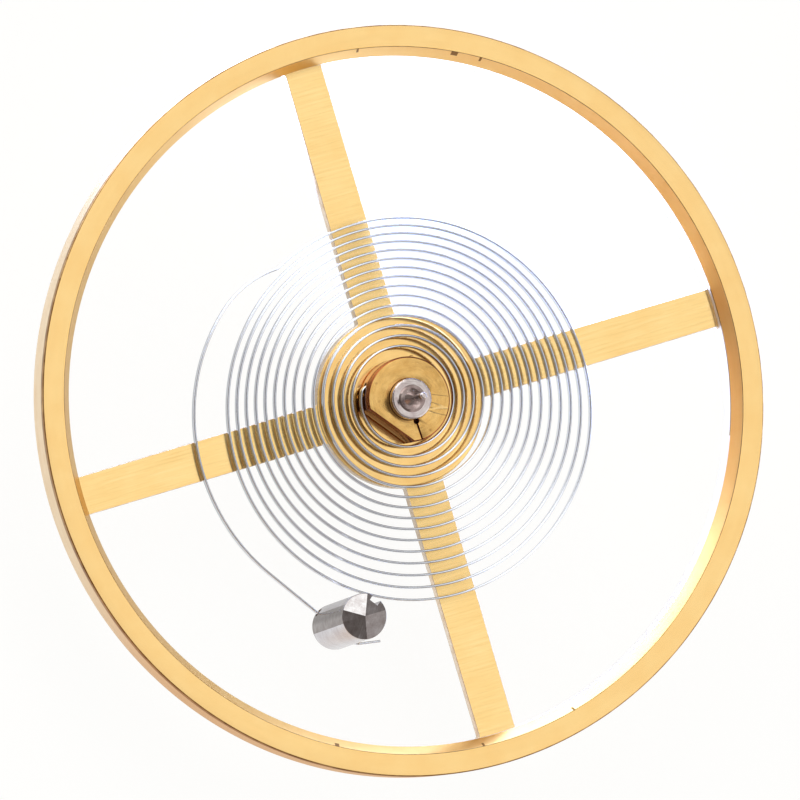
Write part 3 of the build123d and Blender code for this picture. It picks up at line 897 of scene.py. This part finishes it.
def springRoute():
    # middle line as (x, y, heading, length so far)
    v = spring
    out, along = polar(1, collet["holeAngle"]), polar(1, collet["holeAngle"] + 90)
    centre = Vector((v["centreShift"], 0))
    chord = collet["holeDistance"] + v["offset"]
    inwards = chord - v["innerBend"] - centre.dot(out)
    bendAt = centre.dot(along) + sqrt((v["firstRadius"] - v["innerBend"]) ** 2 - inwards**2)
    bend = out * chord + along * bendAt
    contact = bend - out * v["innerBend"] - centre
    startAngle = degrees(atan2(contact.y, contact.x))
    stations = []
    start, heading = bend - along * v["pinned"], radians(collet["holeAngle"] + 90)
    state = {"point": start, "heading": heading, "length": 0.0}

    def put():
        stations.append((state["point"].x, state["point"].y, state["heading"], state["length"]))

    def straight(length, steps):
        for _ in range(steps):
            way = Vector((cos(state["heading"]), sin(state["heading"])))
            state["point"] = state["point"] + way * (length / steps)
            state["length"] += length / steps
            put()

    def arc(radius, turn):
        steps = max(v["leastSteps"], ceil(abs(turn) / v["stepAngle"]))
        side = 1 if turn > 0 else -1
        a = state["heading"]
        middle = state["point"] + Vector((-sin(a), cos(a))) * radius * side
        for _ in range(steps):
            a += radians(turn) / steps
            state["point"] = middle + Vector((sin(a), -cos(a))) * radius * side
            state["length"] += radius * abs(radians(turn)) / steps
            state["heading"] = a
            put()

    put()
    straight(v["pinned"], v["pinnedSteps"])
    arc(v["innerBend"], startAngle - collet["holeAngle"])
    arc(v["firstRadius"], 180 - startAngle)
    radius, quarter = v["firstRadius"], v["pitch"] / 4
    # west, south, east, north: each turn past the steady ones drifts further south and a little west
    leans = (-v["westShare"], -1, v["westShare"], 1)
    quarters = v["turns"] * 4
    for number in range(quarters):
        late = max(0, number // 4 + 1 - v["steadyTurns"])
        drift = v["lastDrift"] * late / (v["turns"] - v["steadyTurns"])
        radius += quarter + drift / 2 * leans[number % 4]
        arc(radius, v["lastAngle"] if number == quarters - 1 else 90)
    arc(v["kinkRadius"], -v["kinkTurn"])
    for bendRadius, turn in v["terminal"]:
        arc(bendRadius, turn)
    straight(v["straight"], v["straightSteps"])
    mouth, mouthHeading, mouthLength = state["point"].copy(), state["heading"], state["length"]
    straight(v["studDiameter"], v["studSteps"])
    arc(v["tailRadius"], v["tailTurn"])
    straight(v["tail"], v["tailSteps"])
    return stations, bendAt, mouth, mouthHeading, mouthLength


springStations, bendAt, studMouth, studHeading, mouthLength = springRoute()


def smooth(value, low, high):
    share = min(1.0, max(0.0, (value - low) / (high - low)))
    return share * share * (3 - 2 * share)


def springSink(x, length):
    # how much lower and further right than its level place the ribbon lies; nothing at the collet and stud
    v = spring
    held = smooth(length, mouthLength - v["heldFrom"], mouthLength - v["heldTo"])
    freedom = smooth(length, v["freeFrom"], v["freeTo"]) * (1 - held)
    sink = freedom * (v["droop"] - v["lean"] * x)
    return sink, sink * v["slideShare"] + freedom * v["slide"]


def ribbonSection():
    # a rounded rectangle on edge
    v = spring
    corner, steps = v["round"], v["roundSteps"]
    halfThick, halfWide = v["thickness"] / 2 - corner, v["width"] / 2 - corner
    section = []
    for quarter, (cx, cy) in enumerate(((1, 1), (-1, 1), (-1, -1), (1, -1))):
        for k in range(steps + 1):
            turn = radians(90 * quarter + 90 / steps * k)
            section.append((cx * halfThick + corner * cos(turn), cy * halfWide + corner * sin(turn)))
    return section


def buildSpring():
    v = spring
    section = ribbonSection()
    shape = bmesh.new()
    rings = []
    for x, y, heading, length in springStations:
        left = Vector((-sin(heading), cos(heading)))
        sink, slide = springSink(x, length)
        places = [(x + slide + left.x * a, y + left.y * a, v["height"] - sink + b) for a, b in section]
        rings.append([shape.verts.new(place) for place in places])
    skinRings(shape, rings, lambda number, index: 0)
    shape.faces.new(rings[0])
    shape.faces.new(list(reversed(rings[-1])))
    piece = finishPiece("springRibbon", shape, [springFinish], "hairspring", None)
    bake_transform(piece)
    # weights along the ribbon itself, from all of the balance's turn at the collet to none in the stud;
    # nothing uses them
    weights = []
    for _, _, _, length in springStations:
        share = (length - v["pinned"]) / (mouthLength - v["pinned"])
        weights += [1 - min(1.0, max(0.0, share))] * len(section)
    return piece


buildSpring()

# the stud
stud = {
    "radius": 0.2825, "bottom": 1.732, "top": 3.042, "edgeRound": 0.03, "topRound": 0.006, "topGap": 0.2,
    "edgeSteps": 24, "topSteps": 8, "stepAngle": 2.5, "halvings": 30, "sharpAngle": 5,
    "shadeFrom": 132, "shadeTo": 181,   # painted shade on the side between these angles
    # way they face and slope, degrees
    "facets": ((27, 5.5), (117, 7), (208.5, 12), (298.5, 10)), "highlightFacet": 1,
    "notchWidth": 0.12, "notchDepth": 0.08, "notchLength": 0.30, "notchAngle": 38, "notchTool": (0.5, 0.6),
    "holeRadius": 0.058, "holeLength": 1.2, "pinTail": 0.07, "pinHead": -0.02,
    "tilt": 3.4, "tiltTowards": 60,   # it hangs a little askew on the free spring
}
studAngle = degrees(studHeading)
studCentre = studMouth + polar(stud["radius"], studAngle) + polar(spring["offset"], studAngle + 90)
studPivot = Vector((studCentre.x, studCentre.y, spring["height"]))
studTilt = (
    Matrix.Translation(studPivot)
    @ Matrix.Rotation(radians(stud["tilt"]), 4, Vector((*polar(1, stud["tiltTowards"] + 90), 0)))
    @ Matrix.Translation(-studPivot)
)


def facetFall(angle):
    # which facet lies this way from the middle, and how far it has fallen at a distance of 1
    falls = [tan(radians(slope)) * cos(radians(angle - facing)) for facing, slope in stud["facets"]]
    return falls.index(max(falls)), max(falls)


def studTurns():
    # directions round the stud, with one on each ridge between two facets
    step = stud["stepAngle"]
    turns = {step * k for k in range(round(360 / step))}
    for low in sorted(turns):
        first = facetFall(low)[0]
        if first != facetFall(low + step)[0]:
            a, b = low, low + step
            for _ in range(stud["halvings"]):
                middle = (a + b) / 2
                a, b = (middle, b) if facetFall(middle)[0] == first else (a, middle)
            turns.add(a)
    return sorted(turns)


def buildStud():
    s = stud
    shape = bmesh.new()
    turns = studTurns()
    wall = softProfile([
        (0, s["bottom"]), (s["radius"], s["bottom"], s["edgeRound"]), (s["radius"], s["top"] - s["topGap"]),
    ], s["edgeSteps"])[1:-1]
    rings = [[shape.verts.new((*polar(r, turn), z)) for turn in turns] for r, z in wall]
    for step in range(s["topSteps"] + 1):   # soft upper edge, which follows the facets
        bend = radians(90 * step / s["topSteps"])
        r, top = s["radius"] - s["topRound"] * (1 - cos(bend)), s["topRound"] * (1 - sin(bend))
        heights = [s["top"] - facetFall(turn)[1] * s["radius"] - top for turn in turns]
        rings.append([shape.verts.new((*polar(r, turn), z)) for turn, z in zip(turns, heights)])

    def finishAt(number, index):
        # painted shade: the soft edges are dark, and so is the side's shaded stretch
        shaded = s["shadeFrom"] < turns[index] % 360 < s["shadeTo"]
        side = number == len(wall) or number == len(wall) - 1 and not shaded
        return 0 if side else 2

    skinRings(shape, rings, finishAt)
    shape.faces.new(list(reversed(rings[0])))
    apex = shape.verts.new((0, 0, s["top"]))
    for index, turn in enumerate(turns):
        other = (index + 1) % len(turns)
        middle = turn + ((turns[other] - turn) % 360) / 2
        # painted highlight on one facet, painted shade on the others
        bright = facetFall(middle)[0] == s["highlightFacet"]
        shape.faces.new((rings[-1][index], rings[-1][other], apex)).material_index = 1 if bright else 2
    shape.transform(studTilt @ Matrix.Translation((studCentre.x, studCentre.y, 0)))
    drill = levelDrill(
        studCentre, studAngle, spring["height"], s["holeRadius"], s["holeLength"], "studDrill"
    )
    notch = bmesh.new()
    bmesh.ops.create_cube(notch, size=1.0)
    long, tall = s["notchTool"]
    place = studCentre + polar(s["radius"] - s["notchDepth"] + long / 2, s["notchAngle"])
    notch.transform(
        studTilt @ Matrix.Translation((place.x, place.y, s["top"] - s["notchLength"] + tall / 2))
        @ Matrix.Rotation(radians(s["notchAngle"]), 4, "Z")
        @ Matrix.Diagonal((long, s["notchWidth"], tall, 1))
    )
    finishes = [studFinish, studHighlightFacetFinish, studShadedFacetFinish]
    return finishPiece(
        "studPeg", shape, finishes, "stud", "stud_body",
        cutters=[drill, placeMesh(notch, "studNotch")], sharpAngle=s["sharpAngle"],
    )


def buildPins():
    c = collet
    along = c["holeAngle"] + 90
    reach = sqrt(c["radius"] ** 2 - c["holeDistance"] ** 2) + c["pinTail"]
    start = polar(c["holeDistance"], c["holeAngle"]) - polar(reach, along)
    peg = pinShape(start, along, c["springHeight"], reach + bendAt)
    finishPiece("colletPin", peg, [pinFinish], "collet_pin", "balance")
    start = studCentre - polar(stud["radius"] + stud["pinHead"], studAngle)
    length = 2 * stud["radius"] + stud["pinHead"] + stud["pinTail"]
    peg = pinShape(start, studAngle, c["springHeight"], length)
    peg.transform(studTilt)
    finishPiece("studPin", peg, [pinFinish], "stud_pin", "stud_body")


buildStud()
buildPins()
print("pieces made")

# floor and studio light
floor = {
    "size": 3.0, "sides": 96, "colour": (236, 236, 233), "shade": (238, 238, 235), "clouds": (6.0, 1.0),
    "roughness": 0.9, "gloss": 0.2, "glow": (255, 255, 254), "glowShare": 0.85, "seenStrength": 1.06,
    # painted into reflections only: a painted shadow under the spring, painted light towards the window, a
    # warm painted reflection on the other side
    "mirrored": (1, 1, 0.98, 1), "shadowSpot": (-1.5, 0, 0), "shadowShare": 0.68, "shadowFrom": 1.95, "shadowTo": 2.4,
    "brightWay": (0.6, 0.8, 0), "brightFrom": 1.8, "brightTo": 2.4, "brightGain": 6.0,
    "brightColour": (0.7, 0.88, 1.4, 1),
    "warmWay": (-0.5, -0.87, 0), "warmFrom": 3.7, "warmTo": 4.8, "warmColour": (0.86, 0.63, 0.46, 1),
}


def floorPaper():
    f = floor
    material, tree, paper = startMaterial("floorPaper", {
        "Roughness": f["roughness"], "Specular IOR Level": f["gloss"],
    })
    tone = layMarks(tree, "clouds", f["clouds"])
    setInputs(tree, paper, {"Base Color": mixColour(tree, tone, paint(*f["colour"]), paint(*f["shade"]))})
    place = pointInMillimetres(tree)
    towardsWarm = vectorCalc(tree, "DOT_PRODUCT", place, f["warmWay"])
    towardsBright = vectorCalc(tree, "DOT_PRODUCT", place, f["brightWay"])
    warmth = fade(tree, towardsWarm, f["warmFrom"], f["warmTo"])
    gain = fade(tree, towardsBright, f["brightFrom"], f["brightTo"], 0.0, f["brightGain"])
    tint = mixColour(tree, warmth, f["mirrored"], f["warmColour"])
    # painted shadow: in reflections the floor is darker round this spot, standing in for the spring's and
    # wheel's shadow
    away = vectorCalc(tree, "DISTANCE", place, f["shadowSpot"])
    paintedShadow = fade(tree, away, f["shadowFrom"], f["shadowTo"], f["shadowShare"])
    mirrored = addNode(tree, "ShaderNodeEmission", {
        "Color": mixColour(tree, gain, tint, f["brightColour"]),
        "Strength": calc(tree, "MULTIPLY", calc(tree, "ADD", gain, 1.0), paintedShadow),
    })
    glow = addNode(tree, "ShaderNodeEmission", {"Color": paint(*f["glow"]), "Strength": f["seenStrength"]})
    rays = addNode(tree, "ShaderNodeLightPath").outputs
    either = addNode(tree, "ShaderNodeMixShader", {
        0: rays["Is Glossy Ray"], 1: glow.outputs[0], 2: mirrored.outputs[0],
    })
    seen = calc(tree, "MAXIMUM", rays["Is Camera Ray"], rays["Is Glossy Ray"])
    seen = calc(tree, "MAXIMUM", seen, rays["Is Transmission Ray"])
    share = calc(tree, "MULTIPLY", seen, f["glowShare"])
    mixed = addNode(tree, "ShaderNodeMixShader", {0: share, 1: paper.outputs[0], 2: either.outputs[0]})
    setInputs(tree, tree.nodes["Material Output"], {"Surface": mixed.outputs[0]})
    return material


def buildFloor():
    shape = bmesh.new()
    bmesh.ops.create_circle(shape, cap_ends=True, segments=floor["sides"], radius=floor["size"] / 2)
    mesh = bpy.data.meshes.new("floor")
    shape.to_mesh(mesh)
    shape.free()
    ground = bpy.data.objects.new("floor", mesh)
    scene.collection.objects.link(ground)
    mesh.materials.append(floorPaper())


buildFloor()

studio = {
    "room": (0.37, 0.345, 0.325),
    # one long strip of light over the object, from upper left to lower right in the picture
    "stripWay": (-0.4226, 0.9063, 0), "stripSide": (0.9063, 0.4226, 0), "stripColour": (1.0, 0.995, 0.98),
    "stripOffset": 0.2627, "stripFull": 0.16, "stripEnd": 0.38, "overhead": 1.07,
    "farGain": 1.0, "farFrom": 0.02, "farTo": 0.45, "nearGain": 0.45, "nearFrom": -0.3, "nearTo": -0.7,
    # direction, full out to this angle, gone by that one, colour
    "panels": (
        ((-0.28, 0.95, 0.04), 14, 36, (2.8, 2.8, 2.7)),    # window, low
        ((-0.92, -0.39, 0.02), 16, 44, (0.85, 0.56, 0.28)),  # warm wall
        ((0.86, 0.0, 0.5), 14, 30, (0.8, 0.82, 0.84)),     # pale wall, right
    ),
    "lensShade": (8, 17, 0.85),   # dark front of the lens: the same two angles, and how dark
}


def buildStudio():
    s = studio
    world = bpy.data.worlds.new("studio")
    scene.world = world
    world.use_nodes = True
    tree = world.node_tree
    way = vectorCalc(tree, "NORMALIZE", addNode(tree, "ShaderNodeTexCoord").outputs["Generated"])

    def towards(direction):
        return vectorCalc(tree, "DOT_PRODUCT", way, Vector(direction).normalized())

    def patch(direction, inner, outer, high=1.0):
        return fade(tree, towards(direction), cos(radians(outer)), cos(radians(inner)), 0.0, high)

    offCentre = calc(tree, "ABSOLUTE", calc(tree, "SUBTRACT", towards(s["stripSide"]), s["stripOffset"]))
    inStrip = fade(tree, offCentre, s["stripFull"], s["stripEnd"], 1.0, 0.0)
    along = towards(s["stripWay"])
    level = calc(tree, "ADD", fade(tree, along, s["farFrom"], s["farTo"], 0.0, s["farGain"]), s["overhead"])
    level = calc(tree, "ADD", level, fade(tree, along, s["nearFrom"], s["nearTo"], 0.0, s["nearGain"]))
    strip = vectorCalc(tree, "SCALE", s["stripColour"], Scale=calc(tree, "MULTIPLY", inStrip, level))
    light = vectorCalc(tree, "MAXIMUM", s["room"], strip)
    for direction, inner, outer, colour in s["panels"]:
        panel = vectorCalc(tree, "SCALE", colour, Scale=patch(direction, inner, outer))
        light = vectorCalc(tree, "MAXIMUM", light, panel)
    inner, outer, depth = s["lensShade"]
    keep = calc(tree, "SUBTRACT", 1.0, patch(towardsCamera, inner, outer, depth))
    setInputs(tree, tree.nodes["Background"], {"Color": vectorCalc(tree, "SCALE", light, Scale=keep)})


buildStudio()
scene.view_settings.view_transform = "Standard"
print("studio lit")
